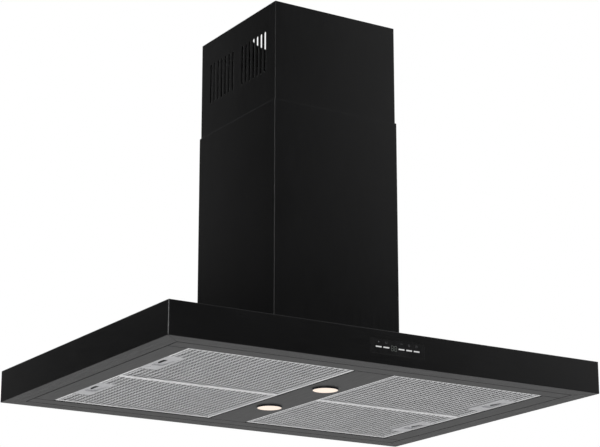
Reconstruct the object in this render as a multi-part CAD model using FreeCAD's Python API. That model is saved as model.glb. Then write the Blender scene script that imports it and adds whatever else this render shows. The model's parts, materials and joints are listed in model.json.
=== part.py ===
import FreeCAD, Part
import math
import os

# Island range hood, hung from a ceiling.
# +X runs along the long side, -Y is the side with the touch control, +Z is up.
# The origin is the centre of the ceiling plate's top face, so the hood hangs below Z = 0.
# All lengths are millimetres.

# ---- driving dimensions: overall ----
TOTAL_H = 716.0
CANOPY_W = 900.0
CANOPY_D = 660.0
CANOPY_H = 60.0
CANOPY_SHEET = 1.2
CANOPY_CORNER_R = 2.0
CANOPY_EDGE_R = 1.0
RIM_W = 36.0
TOP_RETURN_W = 15.0
SEAM = 2.0

# ---- driving dimensions: chimney and telescopic frame ----
SLEEVE_SHEET = 1.0
SLEEVE_CORNER_R = 1.5
UPPER_W = 268.0
UPPER_D = 278.0
UPPER_LEN = 430.0
LOWER_W = 272.0
LOWER_D = 282.0
LOWER_TOP = -194.0
BODY_GAP = 0.3
PLATE_T = 2.0
PLATE_FLANGE_T = 1.5
PLATE_FLANGE_H = 18.0
DUCT_HOLE_R = 88.0
ANCHOR_X = 190.0
ANCHOR_Y = 200.0
ANCHOR_R = 4.5
CABLE_HOLE_R = 9.0
CHIMNEY_SCREW_AT = 80.0
CHIMNEY_SCREW_Z = -12.0
SMALL_HOLE_R = 1.9
M5_HOLE_R = 2.5
ANGLE_T = 1.5
FOOT_W = 24.0
UPPER_ANGLE_X = 130.0
UPPER_ANGLE_Y = 135.0
UPPER_ANGLE_LEG = 30.0
UPPER_ANGLE_END = -415.0
LOWER_ANGLE_GAP = 0.4
LOWER_ANGLE_LEG = 28.0
LOWER_ANGLE_TOP = -140.0
BRACE_H = 20.0
BOLT_R = 2.95
BOLT_Y = 120.0
BOLT_Z = (-150.0, -180.0)
BOLT_SLOT_W = 6.6
BOLT_SLOT_TOP = -80.0
BOLT_SLOT_END = -386.0
BOLT_HEAD_R = 6.0
BOLT_HEAD_H = 2.4
BOLT_END_IN = 8.5
NUT_T = 5.0
NUT_FLATS = 10.0
UPPER_BRACE_RISE = 3.0
LOWER_BRACE_RISE = 95.0

# ---- driving dimensions: screws ----
PAN_HEAD_R = 4.2
PAN_HEAD_H = 2.4
PAN_SHANK_R = 2.4
PAN_DRIVE_R = 1.4
PAN_DRIVE_FLOOR = 1.2
FLAT_HEAD_R = 3.25
FLAT_SHANK_R = 1.7
FLAT_SHANK_L = 7.0
FLAT_DRIVE_R = 1.0
FLAT_DRIVE_DEPTH = 0.7
COUNTERSINK_R = 3.6
FOOT_SCREW_L = 8.0
BLOWER_SCREW_L = 10.0

# ---- driving dimensions: vents in the upper chimney's two end walls ----
VENT_W = 6.0
VENT_TOP = -50.0
VENT_END = -130.0
VENT_FIRST = 18.0
VENT_PITCH = 14.0
VENTS_PER_GROUP = 7

# ---- driving dimensions: underside, filters and lamps ----
OPEN_IN = 40.0
OPEN_OUT = 374.0
OPEN_Y = 259.5
RAIL_FLANGE_H = 15.0
LIP_LAP = 10.0
LIP_GAP = 0.1
LOCATOR_H = 8.0
LOCATOR_SLACK = 0.6
MITRE_W = 0.3
MITRE_DEPTH = 0.5
LUG_SLOT_H = 8.6
FILTER_L = 331.6
FILTER_W = 258.2
FILTER_T = 9.0
FILTER_SHEET = 1.0
FILTER_RIM = 5.2
FILTER_IN = 41.2
LUG_OUT = 10.2
LUG_W = 16.0
LUG_Y = 70.0
LUG_LIFT = 4.0
LUG_T = 1.2
CASE_IN = 334.7
CASE_OUT = 371.6
CASE_HALF = 55.0
CASE_T = 7.8
CASE_WALL = 1.4
SCOOP_IN = 341.8
SCOOP_OUT = 364.0
SCOOP_START = -38.0
SCOOP_END = 22.0
SCOOP_DEPTH = 3.0
SCOOP_R = 6.0
GRIP_X = 354.8
GRIP_T = 2.6
GRIP_START = -24.0
GRIP_END = 6.0
SLIDER_IN = 340.2
SLIDER_HALF = 22.0
TONGUE_W = 20.0
TONGUE_T = 1.6
TONGUE_TOP = 5.9
LATCH_TRAVEL = 5.0
LAMP_Y = 98.0
LAMP_R = 24.5
LAMP_PROUD = 2.5
LAMP_HOLE_R = 22.6
LAMP_BORE_R = 21.2
LAMP_FIN_R = 20.0
LAMP_FIN_T = 2.0
LAMP_FIN_RISE = (2.0, 6.0, 10.0)
LAMP_CORE_R = 12.0
LAMP_SKIRT_H = 9.0
CLIP_REACH = 32.0
CLIP_W = 10.0
CLIP_T = 0.8

# ---- driving dimensions: touch control ----
KEY_PITCH = 15.9
KEY_COUNT = 6
DISPLAY_KEY = 2
DASH_L = 12.0
DASH_H = 2.2
WINDOW_W = 111.6
WINDOW_H = 25.6
WINDOW_T = 3.0
WINDOW_FLANGE = 3.0
WINDOW_SUNK = 0.15
WINDOW_RISE = 31.5
DASH_RISE = 30.0
GUIDE_SUNK = 0.1
DISPLAY_W = 16.0
DISPLAY_H = 13.0
BOARD_W = 116.0
BOARD_H = 28.0
BOARD_T = 1.6
BOARD_Y = -320.0
CHIP_X = (-38.0, -6.0, 24.0)
CHIP_W = 9.0
CHIP_H = 10.0
CHIP_T = 1.8
BOX_W = 125.0
BOX_H = 37.0
BOX_DEPTH = 17.0
BOX_WALL = 1.5
LEAD_HOLE_X = 50.0
LEAD_HOLE_R = 4.0
DRIVER_W = 120.0
DRIVER_D = 40.0
DRIVER_H = 22.0
DRIVER_Y = 284.0
DRIVER_EAR_W = 144.0
DRIVER_EAR_D = 16.0
DRIVER_EAR_T = 2.0

# ---- driving dimensions: blower ----
DECK_HOLE_X = 98.0
DECK_HOLE_Y = 103.0
SCROLL_R = 68.0
SCROLL_STEP = 9.0
SCROLL_HALF = 73.0
WALL = 2.0
SCROLL_X = -12.0
SCROLL_RISE = 8.0
INLET_R = 50.0
WHEEL_R = 58.0
WHEEL_IN_R = 47.5
WHEEL_HALF = 66.0
WHEEL_BLADES = 36
BLOWER_FOOT_X = 106.0
BLOWER_FOOT_HALF = 113.0
BLOWER_FOOT_STEP = 4.0
CRADLE_HALF = 30.0
BRACKET_SCREW_R = 57.0
BRACKET_T = 2.0
BRACKET_ARM_W = 14.0
CLAMP_W = 9.0
CLAMP_T = 2.5
SHAFT_R = 4.0
SHAFT_START = -18.0
SHAFT_END = 26.0
MOTOR_R = 40.0
MOTOR_START = 14.0
MOTOR_END = 92.0
MOTOR_EDGE_R = 4.0
NOSE_R = 12.0
NOSE_START = 9.0
HUB_R = 10.0
HUB_START = -14.0
HUB_END = 6.0
WHEEL_RING_W = 3.0
WHEEL_DISC_T = 2.0
BLADE_TILT = 35.0
BLADE_T = 1.0
COLLAR_R = 74.5
COLLAR_T = 2.0
COLLAR_H = 50.0
PLENUM_H = 30.0
PLENUM_FLOOR = -480.0
FLAP_R = 71.5
FLAP_T = 1.2
FLAP_CUT_BACK = 4.6
KNUCKLE_R = 4.0
LEFT_KNUCKLES = ((-60.0, -42.0), (20.0, 38.0))
RIGHT_KNUCKLES = ((-40.0, -22.0), (42.0, 60.0))
STOP_T = 2.0
ROD_R = 2.0
PLENUM_MARGIN = 2.5
CAPACITOR_R = 15.0
CAPACITOR_START = -28.0
CAPACITOR_END = 24.0
CAPACITOR_CAP_R = 11.0
CAPACITOR_CAP_L = 6.0
TERMINAL_L = 30.0
TERMINAL_H = 28.0
TERMINAL_HALF = 34.0
TERMINAL_WALL = 1.8
GLAND_R = 12.0
GLAND_COLLAR_H = 4.0
GLAND_DOME_H = 10.0
GLAND_THREAD_R = 7.9
GLAND_THREAD_L = 6.0
GLAND_BORE_R = 3.6

# ---- worked out from the driving dimensions ----
Z_UNDER = -TOTAL_H
Z_DECK = Z_UNDER + CANOPY_H
Z_FACE = Z_UNDER + CANOPY_SHEET
HALF_W = CANOPY_W / 2
HALF_D = CANOPY_D / 2
LOWER_ANGLE_X = UPPER_ANGLE_X - ANGLE_T - LOWER_ANGLE_GAP
LOWER_ANGLE_Y = UPPER_ANGLE_Y - ANGLE_T - LOWER_ANGLE_GAP
WHEEL_X = SCROLL_X + SCROLL_STEP / 2
SCROLL_Z = Z_DECK + SCROLL_RISE + SCROLL_R + SCROLL_STEP
WHEEL_Z = SCROLL_Z + SCROLL_STEP / 2
NECK_IN = 7.0
NECK_OUT = SCROLL_X + SCROLL_STEP + SCROLL_R + 2 * SCROLL_STEP
PLENUM_TOP = PLENUM_FLOOR + PLENUM_H
COLLAR_TOP = PLENUM_TOP + COLLAR_H
FLAP_Z = PLENUM_TOP + COLLAR_H / 2
GLAND_X = NECK_OUT + 2 * WALL + TERMINAL_L / 2
CORNERS = ((-1, -1), (1, -1), (-1, 1), (1, 1))
EPS = 1.0


# ---- small helpers ----
def vec(x, y, z):
    return FreeCAD.Vector(x, y, z)


def box(x0, x1, y0, y1, z0, z1):
    x0, x1 = sorted((x0, x1))
    y0, y1 = sorted((y0, y1))
    z0, z1 = sorted((z0, z1))
    return Part.makeBox(x1 - x0, y1 - y0, z1 - z0, vec(x0, y0, z0))


def centred(half_x, half_y, z0, z1):
    return box(-half_x, half_x, -half_y, half_y, z0, z1)


def disc(x, y, z0, z1, r):
    return Part.makeCylinder(r, z1 - z0, vec(x, y, z0))


def disc_x(x0, x1, y, z, r):
    x0, x1 = sorted((x0, x1))
    return Part.makeCylinder(r, x1 - x0, vec(x0, y, z), vec(1, 0, 0))


def disc_y(x, y0, y1, z, r):
    y0, y1 = sorted((y0, y1))
    return Part.makeCylinder(r, y1 - y0, vec(x, y0, z), vec(0, 1, 0))


def ring(x, y, z0, z1, r_out, r_in):
    return disc(x, y, z0, z1, r_out).cut(disc(x, y, z0 - EPS, z1 + EPS, r_in))


def fuse(shapes):
    shapes = list(shapes)
    return shapes[0].multiFuse(shapes[1:]).removeSplitter()


def cut(shape, tools):
    return shape.cut(list(tools)).removeSplitter()


def prism(points, z0, z1):
    """A prism over a closed outline of (x, y) points."""
    corners = [vec(x, y, z0) for x, y in points]
    face = Part.Face(Part.makePolygon(corners + corners[:1]))
    return face.extrude(vec(0, 0, z1 - z0))


def upright_edges(shape):
    """The edges that run along Z."""
    found = []
    for edge in shape.Edges:
        a, b = edge.Vertexes[0].Point, edge.Vertexes[-1].Point
        if abs(a.x - b.x) < 1e-6 and abs(a.y - b.y) < 1e-6:
            found.append(edge)
    return found


def level_edges(shape, z):
    """The edges that lie in the plane at height z."""
    return [e for e in shape.Edges if all(abs(v.Z - z) < 1e-6 for v in e.Vertexes)]


def slot_x(x0, x1, y, z0, z1, width):
    """A cutter along X with round ends at z0 and z1."""
    r = width / 2
    middle = box(x0, x1, y - r, y + r, z0 + r, z1 - r)
    return fuse([middle, disc_x(x0, x1, y, z0 + r, r), disc_x(x0, x1, y, z1 - r, r)])


def frame_of(half_x, half_y, thickness, z0, z1):
    """A rectangular ring, its outer faces at half_x and half_y."""
    inner = centred(half_x - thickness, half_y - thickness, z0 - EPS, z1 + EPS)
    return centred(half_x, half_y, z0, z1).cut(inner)


def save(name, shape):
    solids = shape.Solids
    good = shape.isValid() and all(s.isValid() and s.Volume > 0 for s in solids)
    print(name, len(solids), "solids", round(shape.Volume / 1000.0, 2), "cm3", "" if good else "NOT VALID")
    shape.exportStep("parts/" + name + ".step")


# ---- ceiling frame and upper chimney ----
def ceiling_plate():
    half_x = UPPER_W / 2 - SLEEVE_SHEET - 0.2
    half_y = UPPER_D / 2 - SLEEVE_SHEET - 0.2
    plate = centred(half_x, half_y, -PLATE_T, 0)
    skirt = frame_of(half_x, half_y, PLATE_FLANGE_T, -PLATE_T - PLATE_FLANGE_H, -PLATE_T)
    body = fuse([plate, skirt])
    low = -PLATE_T - EPS
    holes = [disc(0, 0, low, EPS, DUCT_HOLE_R), disc(GLAND_X, 0, low, EPS, CABLE_HOLE_R)]
    for sx, sy in CORNERS:
        holes.append(disc(sx * ANCHOR_X / 2, sy * ANCHOR_Y / 2, low, EPS, ANCHOR_R))
        holes.append(disc(*foot_centre(sx, sy, UPPER_ANGLE_X, UPPER_ANGLE_Y), low, EPS, M5_HOLE_R))
    return cut(body, holes + chimney_screw_holes())


def foot_centre(sx, sy, x_out, y_out):
    """Centre of an upright's fixing screw, in plan."""
    return sx * (x_out - FOOT_W / 2), sy * (y_out - FOOT_W / 2)


def chimney_screw_holes():
    """Holes for the four screws through the upper chimney's right and rear walls into the plate's skirt."""
    holes = []
    for at in (-CHIMNEY_SCREW_AT, CHIMNEY_SCREW_AT):
        holes.append(disc_x(UPPER_W / 2 - 8, UPPER_W / 2 + EPS, at, CHIMNEY_SCREW_Z, SMALL_HOLE_R))
        holes.append(disc_y(at, UPPER_D / 2 - 8, UPPER_D / 2 + EPS, CHIMNEY_SCREW_Z, SMALL_HOLE_R))
    return holes


def angle(sx, sy, x_out, y_out, leg, z0, z1):
    """An L-section upright with its outer corner at (x_out, y_out)."""
    whole = box(sx * x_out, sx * (x_out - leg), sy * y_out, sy * (y_out - leg), z0, z1)
    x_in, y_in = x_out - ANGLE_T, y_out - ANGLE_T
    inside = box(sx * x_in, sx * (x_out - leg - EPS), sy * y_in, sy * (y_out - leg - EPS), z0 - EPS, z1 + EPS)
    return whole.cut(inside)


def foot(sx, sy, x_out, y_out, z0, z1):
    return box(sx * x_out, sx * (x_out - FOOT_W), sy * y_out, sy * (y_out - FOOT_W), z0, z1)


def upper_uprights():
    solids = []
    top = -PLATE_T
    for sx, sy in CORNERS:
        post = angle(sx, sy, UPPER_ANGLE_X, UPPER_ANGLE_Y, UPPER_ANGLE_LEG, UPPER_ANGLE_END, top)
        tab = foot(sx, sy, UPPER_ANGLE_X, UPPER_ANGLE_Y, top - ANGLE_T, top)
        x, y = foot_centre(sx, sy, UPPER_ANGLE_X, UPPER_ANGLE_Y)
        x_in, x_far = sx * (UPPER_ANGLE_X - 5), sx * (UPPER_ANGLE_X + 5)
        slot = slot_x(x_in, x_far, sy * BOLT_Y, BOLT_SLOT_END, BOLT_SLOT_TOP, BOLT_SLOT_W)
        solids.append(cut(fuse([post, tab]), [slot, disc(x, y, top - 3, top + EPS, M5_HOLE_R)]))
    return Part.makeCompound(solids)


def upper_braces():
    """Four flat bars round the outside of the upper uprights, at their lower end."""
    z0 = UPPER_ANGLE_END + UPPER_BRACE_RISE
    z1 = z0 + BRACE_H
    solids = []
    for s in (-1, 1):
        x = s * UPPER_ANGLE_X
        y = s * UPPER_ANGLE_Y
        solids.append(box(x, x + s * ANGLE_T, -UPPER_ANGLE_Y, UPPER_ANGLE_Y, z0, z1))
        solids.append(box(-UPPER_ANGLE_X, UPPER_ANGLE_X, y, y + s * ANGLE_T, z0, z1))
    return Part.makeCompound(solids)


def pan_screw(x, y, z_seat, length, up):
    """An M5 pan-head screw on the Z axis, its head's seat at z_seat, its shank going up or down."""
    way = 1 if up else -1

    def along_axis(start, end, r):
        z0, z1 = sorted((z_seat + way * start, z_seat + way * end))
        return disc(x, y, z0, z1, r)

    head = along_axis(-PAN_HEAD_H, 0, PAN_HEAD_R)
    shank = along_axis(0, length, PAN_SHANK_R)
    drive = along_axis(-PAN_HEAD_H - EPS, -PAN_DRIVE_FLOOR, PAN_DRIVE_R)
    return cut(fuse([head, shank]), [drive])


def ceiling_screws():
    seat = -PLATE_T - ANGLE_T
    places = [foot_centre(sx, sy, UPPER_ANGLE_X, UPPER_ANGLE_Y) for sx, sy in CORNERS]
    return Part.makeCompound([pan_screw(x, y, seat, ANGLE_T + PLATE_T - 0.2, True) for x, y in places])


def sleeve(width, depth, z0, z1):
    """A welded square tube with folded corners and a lock seam down the middle of its back."""
    outer = centred(width / 2, depth / 2, z0, z1)
    outer = outer.makeFillet(SLEEVE_CORNER_R, upright_edges(outer))
    bore = centred(width / 2 - SLEEVE_SHEET, depth / 2 - SLEEVE_SHEET, z0 - EPS, z1 + EPS)
    seam = box(-0.2, 0.2, depth / 2 - 0.4, depth / 2 + EPS, z0 - EPS, z1 + EPS)
    return outer.cut([bore, seam])


def vent_centres():
    steps = [VENT_FIRST + VENT_PITCH * k for k in range(VENTS_PER_GROUP)]
    return [-y for y in reversed(steps)] + steps


def countersink(base, direction):
    return Part.makeCone(COUNTERSINK_R, SMALL_HOLE_R, SLEEVE_SHEET, base, direction)


def upper_chimney():
    tube = sleeve(UPPER_W, UPPER_D, -UPPER_LEN, 0)
    cutters = []
    for s in (-1, 1):
        x0, x1 = s * (UPPER_W / 2 - 5), s * (UPPER_W / 2 + 5)
        cutters += [slot_x(x0, x1, y, VENT_END, VENT_TOP, VENT_W) for y in vent_centres()]
    for at in (-CHIMNEY_SCREW_AT, CHIMNEY_SCREW_AT):
        cutters.append(countersink(vec(UPPER_W / 2, at, CHIMNEY_SCREW_Z), vec(-1, 0, 0)))
        cutters.append(countersink(vec(at, UPPER_D / 2, CHIMNEY_SCREW_Z), vec(0, -1, 0)))
    return tube.cut(cutters + chimney_screw_holes())


def flat_screw(head_centre, direction):
    """A countersunk M4 screw, its head flush with the sheet that it holds."""
    head = Part.makeCone(FLAT_HEAD_R, FLAT_SHANK_R, SLEEVE_SHEET, head_centre, direction)
    shank = Part.makeCylinder(FLAT_SHANK_R, FLAT_SHANK_L, head_centre, direction)
    drive = Part.makeCylinder(FLAT_DRIVE_R, FLAT_DRIVE_DEPTH, head_centre, direction)
    return cut(fuse([head, shank]), [drive])


def chimney_screws():
    solids = []
    for at in (-CHIMNEY_SCREW_AT, CHIMNEY_SCREW_AT):
        solids.append(flat_screw(vec(UPPER_W / 2 - 0.1, at, CHIMNEY_SCREW_Z), vec(-1, 0, 0)))
        solids.append(flat_screw(vec(at, UPPER_D / 2 - 0.1, CHIMNEY_SCREW_Z), vec(0, -1, 0)))
    return Part.makeCompound(solids)


# ---- lower chimney and the frame that hangs the hood ----
def lower_chimney():
    return sleeve(LOWER_W, LOWER_D, Z_DECK + BODY_GAP, LOWER_TOP)


def lower_uprights():
    solids = []
    for sx, sy in CORNERS:
        post = angle(sx, sy, LOWER_ANGLE_X, LOWER_ANGLE_Y, LOWER_ANGLE_LEG, Z_DECK, LOWER_ANGLE_TOP)
        tab = foot(sx, sy, LOWER_ANGLE_X, LOWER_ANGLE_Y, Z_DECK, Z_DECK + ANGLE_T)
        x, y = foot_centre(sx, sy, LOWER_ANGLE_X, LOWER_ANGLE_Y)
        holes = [disc(x, y, Z_DECK - EPS, Z_DECK + 3, M5_HOLE_R)]
        x_in, x_far = sx * (LOWER_ANGLE_X - 5), sx * (LOWER_ANGLE_X + 5)
        holes += [disc_x(x_in, x_far, sy * BOLT_Y, z, BOLT_R + 0.1) for z in BOLT_Z]
        solids.append(cut(fuse([post, tab]), holes))
    return Part.makeCompound(solids)


def lower_braces():
    """Four flat bars inside the lower uprights, above the duct collar."""
    z0 = COLLAR_TOP + LOWER_BRACE_RISE
    z1 = z0 + BRACE_H
    x_in, y_in = LOWER_ANGLE_X - ANGLE_T, LOWER_ANGLE_Y - ANGLE_T
    solids = []
    for s in (-1, 1):
        solids.append(box(s * x_in, s * (x_in - ANGLE_T), -y_in, y_in, z0, z1))
        solids.append(box(-x_in + ANGLE_T, x_in - ANGLE_T, s * y_in, s * (y_in - ANGLE_T), z0, z1))
    return Part.makeCompound(solids)


def frame_bolts():
    """M6 round-head bolts that clamp the lower uprights in the upper uprights' slots."""
    solids = []
    for sx, sy in CORNERS:
        for z in BOLT_Z:
            head_in = sx * (UPPER_ANGLE_X + BODY_GAP)
            head = disc_x(head_in, sx * (UPPER_ANGLE_X + BOLT_HEAD_H), sy * BOLT_Y, z, BOLT_HEAD_R)
            shank = disc_x(head_in, sx * (LOWER_ANGLE_X - BOLT_END_IN), sy * BOLT_Y, z, BOLT_R)
            solids.append(fuse([head, shank]))
    return Part.makeCompound(solids)


def hexagon_x(x0, x1, y, z, flats):
    """A hexagonal prism along X."""
    x0, x1 = sorted((x0, x1))
    r = flats / math.sqrt(3)
    turns = [math.radians(60 * k) for k in range(6)]
    corners = [vec(x0, y + r * math.sin(t), z + r * math.cos(t)) for t in turns]
    return Part.Face(Part.makePolygon(corners + corners[:1])).extrude(vec(x1 - x0, 0, 0))


def frame_nuts():
    solids = []
    for sx, sy in CORNERS:
        for z in BOLT_Z:
            x_far, x_in = sx * (LOWER_ANGLE_X - ANGLE_T), sx * (LOWER_ANGLE_X - ANGLE_T - NUT_T)
            nut = hexagon_x(x_in, x_far, sy * BOLT_Y, z, NUT_FLATS)
            x_head, x_tail = sx * (LOWER_ANGLE_X + EPS), sx * (LOWER_ANGLE_X - 12)
            bore = disc_x(x_head, x_tail, sy * BOLT_Y, z, BOLT_R + 0.05)
            solids.append(nut.cut(bore))
    return Part.makeCompound(solids)


# ---- canopy ----
def canopy_ring():
    """Side walls with a wide return at the bottom and a narrow one at the top, before the mitre cuts."""
    outer = centred(HALF_W, HALF_D, Z_UNDER, Z_DECK)
    outer = outer.makeFillet(CANOPY_CORNER_R, upright_edges(outer))
    outer = outer.makeFillet(CANOPY_EDGE_R, level_edges(outer, Z_DECK) + level_edges(outer, Z_UNDER))
    t = CANOPY_SHEET
    inside = centred(HALF_W - t, HALF_D - t, Z_FACE, Z_DECK - 2 * t)
    bottom = centred(HALF_W - RIM_W, HALF_D - RIM_W, Z_UNDER - EPS, Z_FACE + EPS)
    seat = centred(HALF_W - t, HALF_D - t, Z_DECK - t, Z_DECK + EPS)
    top = centred(HALF_W - TOP_RETURN_W, HALF_D - TOP_RETURN_W, Z_DECK - 3 * t, Z_DECK)
    return outer.cut([inside, bottom, seat, top])


def mitre_grooves():
    """Fine score lines along the mitred corners of the underside rim."""
    reach = RIM_W * 1.2
    cutters = []
    for sx, sy in CORNERS:
        x, y = sx * (HALF_W + 0.5), sy * (HALF_D + 0.5)
        line = [(x - sx * MITRE_W, y), (x, y - sy * MITRE_W)]
        line.append((x - sx * reach, y - sy * (reach + MITRE_W)))
        line.append((x - sx * (reach + MITRE_W), y - sy * reach))
        order = line if sx * sy > 0 else line[::-1]
        cutters.append(prism(order, Z_UNDER - EPS, Z_UNDER + MITRE_DEPTH))
    return cutters


def canopy_panels():
    """The four mitred side panels of the canopy, keyed by side."""
    whole = canopy_ring().cut(mitre_grooves())
    e, deep = 5.0, 60.0
    x, y = HALF_W + e, HALF_D + e
    wedges = {
        "front": [(-x, -y), (x, -y), (x - deep, -y + deep), (-x + deep, -y + deep)],
        "rear": [(-x, y), (-x + deep, y - deep), (x - deep, y - deep), (x, y)],
        "left": [(-x, -y), (-x + deep, -y + deep), (-x + deep, y - deep), (-x, y)],
        "right": [(x, -y), (x, y), (x - deep, y - deep), (x - deep, -y + deep)],
    }
    return {side: whole.common(prism(w, Z_UNDER - 5, Z_DECK + 5)) for side, w in wedges.items()}


def window_cutter():
    half = WINDOW_W / 2 + 0.2
    z = Z_UNDER + WINDOW_RISE
    rise = WINDOW_H / 2 + 0.2
    return box(-half, half, -HALF_D - EPS, -HALF_D + 3, z - rise, z + rise)


def canopy_top():
    """The top panel, with the blower's opening and a low collar that locates the lower chimney."""
    t = CANOPY_SHEET
    plate = centred(HALF_W - t - 0.1, HALF_D - t - 0.1, Z_DECK - t, Z_DECK)
    half_x = LOWER_W / 2 - SLEEVE_SHEET - LOCATOR_SLACK
    half_y = LOWER_D / 2 - SLEEVE_SHEET - LOCATOR_SLACK
    locator = frame_of(half_x, half_y, t, Z_DECK, Z_DECK + LOCATOR_H)
    hole = centred(DECK_HOLE_X, DECK_HOLE_Y, Z_DECK - 5, Z_DECK + EPS)
    holes = [hole]
    holes += [disc(x, y, Z_DECK - 5, Z_DECK + EPS, M5_HOLE_R) for x, y in deck_screw_places()]
    return cut(fuse([plate, locator]), holes)


def deck_screw_places():
    feet = [foot_centre(sx, sy, LOWER_ANGLE_X, LOWER_ANGLE_Y) for sx, sy in CORNERS]
    return feet + blower_screw_places()


def blower_screw_places():
    return [(sx * BLOWER_FOOT_X, sy * (SCROLL_HALF - BLOWER_FOOT_STEP)) for sx, sy in CORNERS]


# ---- underside panels ----
def end_rail_lip(s, x0, x1):
    """The joggled lip that laps over the rim on a front or rear rail."""
    edge = HALF_D - RIM_W
    z0 = Z_FACE + LIP_GAP
    return box(x0, x1, s * (edge - LIP_LAP - SEAM), s * (edge + LIP_LAP), z0, z0 + CANOPY_SHEET)


def end_rail(s):
    """Front or rear rail, s -1 or 1, across the full width inside the rim."""
    half_x = HALF_W - RIM_W - SEAM
    y_far = s * (HALF_D - RIM_W - SEAM)
    y_near = s * (OPEN_Y + SEAM / 2)
    web = box(-half_x, half_x, y_near, y_far, Z_UNDER, Z_FACE)
    weld_y = (y_far - s * LIP_LAP, y_far)
    weld = box(-half_x + 1, half_x - 1, weld_y[0], weld_y[1], Z_FACE, Z_FACE + LIP_GAP)
    flange = box(-half_x, half_x, y_near, y_near + s * CANOPY_SHEET, Z_UNDER, Z_UNDER + RAIL_FLANGE_H)
    return fuse([web, weld, end_rail_lip(s, -half_x + 1, half_x - 1), flange])


def side_rail(s):
    """Left or right rail, s -1 or 1, with a slot for each filter's latch tongue."""
    half_y = OPEN_Y - SEAM / 2
    x_far = HALF_W - RIM_W - SEAM
    web = box(s * OPEN_OUT, s * x_far, -half_y, half_y, Z_UNDER, Z_FACE)
    lap_y = half_y - 1
    lip_z = Z_FACE + LIP_GAP
    weld = box(s * (x_far - LIP_LAP), s * x_far, -lap_y, lap_y, Z_FACE, lip_z)
    lip_x = (x_far - LIP_LAP, x_far + SEAM + LIP_LAP)
    lip = box(s * lip_x[0], s * lip_x[1], -lap_y, lap_y, lip_z, lip_z + CANOPY_SHEET)
    flange_x = (OPEN_OUT, OPEN_OUT + CANOPY_SHEET)
    flange = box(s * flange_x[0], s * flange_x[1], -half_y, half_y, Z_UNDER, Z_UNDER + RAIL_FLANGE_H)
    slots = []
    for y in filter_centres():
        half = TONGUE_W / 2 + 1
        z0, z1 = tongue_levels()
        slots.append(box(s * (OPEN_OUT - EPS), s * (OPEN_OUT + 3), y - half, y + half, z0 - 0.8, z1 + 0.8))
    return cut(fuse([web, weld, lip, flange]), slots)


def filter_centres():
    return (-OPEN_Y / 2, OPEN_Y / 2)


def tongue_levels():
    z1 = Z_FACE + TONGUE_TOP
    return z1 - TONGUE_T, z1


def lamp_bridge():
    """The centre panel that carries the two lamps and the hook slots of all four filters."""
    half_y = OPEN_Y - SEAM / 2
    web = box(-OPEN_IN, OPEN_IN, -half_y, half_y, Z_UNDER, Z_FACE)
    parts = [web]
    cutters = [disc(0, s * LAMP_Y, Z_UNDER - EPS, Z_FACE + EPS, LAMP_HOLE_R) for s in (-1, 1)]
    for s in (-1, 1):
        x_in = s * (OPEN_IN - CANOPY_SHEET)
        parts.append(box(x_in, s * OPEN_IN, -half_y, half_y, Z_UNDER, Z_UNDER + RAIL_FLANGE_H))
        for y in filter_centres():
            for lug in (-LUG_Y, LUG_Y):
                half = LUG_W / 2 + 1
                x0, x1 = s * (OPEN_IN - 4), s * (OPEN_IN + EPS)
                z0 = Z_FACE + LUG_LIFT - 0.8
                z1 = z0 + LUG_SLOT_H
                cutters.append(box(x0, x1, y + lug - half, y + lug + half, z0, z1))
    return cut(fuse(parts), cutters)


def hood_screws():
    """M5 screws that hold the uprights and the blower down on the top panel."""
    feet = [foot_centre(sx, sy, LOWER_ANGLE_X, LOWER_ANGLE_Y) for sx, sy in CORNERS]
    foot_top = Z_DECK + SCROLL_RISE - BLOWER_FOOT_STEP
    solids = [pan_screw(x, y, Z_DECK + ANGLE_T, FOOT_SCREW_L, False) for x, y in feet]
    solids += [pan_screw(x, y, foot_top, BLOWER_SCREW_L, False) for x, y in blower_screw_places()]
    return Part.makeCompound(solids)


# ---- grease filters ----
def filter_box(s, y, inset, z0, z1):
    x0, x1 = FILTER_IN + inset, FILTER_IN + FILTER_L - inset
    half = FILTER_W / 2 - inset
    return box(s * x0, s * x1, y - half, y + half, z0, z1)


def case_cutter(s, y, slack, z0, z1):
    half = CASE_HALF + slack
    return box(s * (CASE_IN - slack), s * (CASE_OUT + slack), y - half, y + half, z0, z1)


def tongue_cutter(s, y):
    z0, z1 = tongue_levels()
    half = TONGUE_W / 2 + 0.3
    return box(s * (CASE_OUT - 3), s * (FILTER_IN + FILTER_L + EPS), y - half, y + half, z0 - 0.3, z1 + 0.3)


def filter_frame(s, y):
    """A folded U-section frame, open to the middle, with two hook lugs on its inner end."""
    top = Z_FACE + FILTER_T
    outer = filter_box(s, y, 0, Z_FACE, top)
    window = filter_box(s, y, FILTER_RIM, Z_FACE - EPS, top + EPS)
    channel = filter_box(s, y, FILTER_SHEET, Z_FACE + FILTER_SHEET, top - FILTER_SHEET)
    case_room = case_cutter(s, y, 0.2, Z_FACE - EPS, Z_FACE + CASE_T + 0.2)
    cutters = [window, channel, case_room, tongue_cutter(s, y)]
    frame = cut(outer, cutters)
    lugs = []
    for lug in (-LUG_Y, LUG_Y):
        z0 = Z_FACE + LUG_LIFT
        x_tip = FILTER_IN - LUG_OUT
        y0, y1 = y + lug - LUG_W / 2, y + lug + LUG_W / 2
        lugs.append(box(s * x_tip, s * (FILTER_IN + FILTER_SHEET), y0, y1, z0, z0 + LUG_T))
    return fuse([frame] + lugs)


def filter_mesh(s, y):
    """Three flat layers of aluminium mesh, held in the frame's channel."""
    slack = 0.2
    first = Z_FACE + FILTER_SHEET
    room = FILTER_T - 2 * FILTER_SHEET
    solids = []
    for k in range(3):
        z0 = first + (room - 1.0) * k / 2
        layer = filter_box(s, y, FILTER_SHEET + slack, z0, z0 + 1.0)
        solids.append(layer.cut(case_cutter(s, y, 0.5, Z_FACE - EPS, Z_FACE + FILTER_T)))
    return Part.makeCompound(solids)


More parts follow.
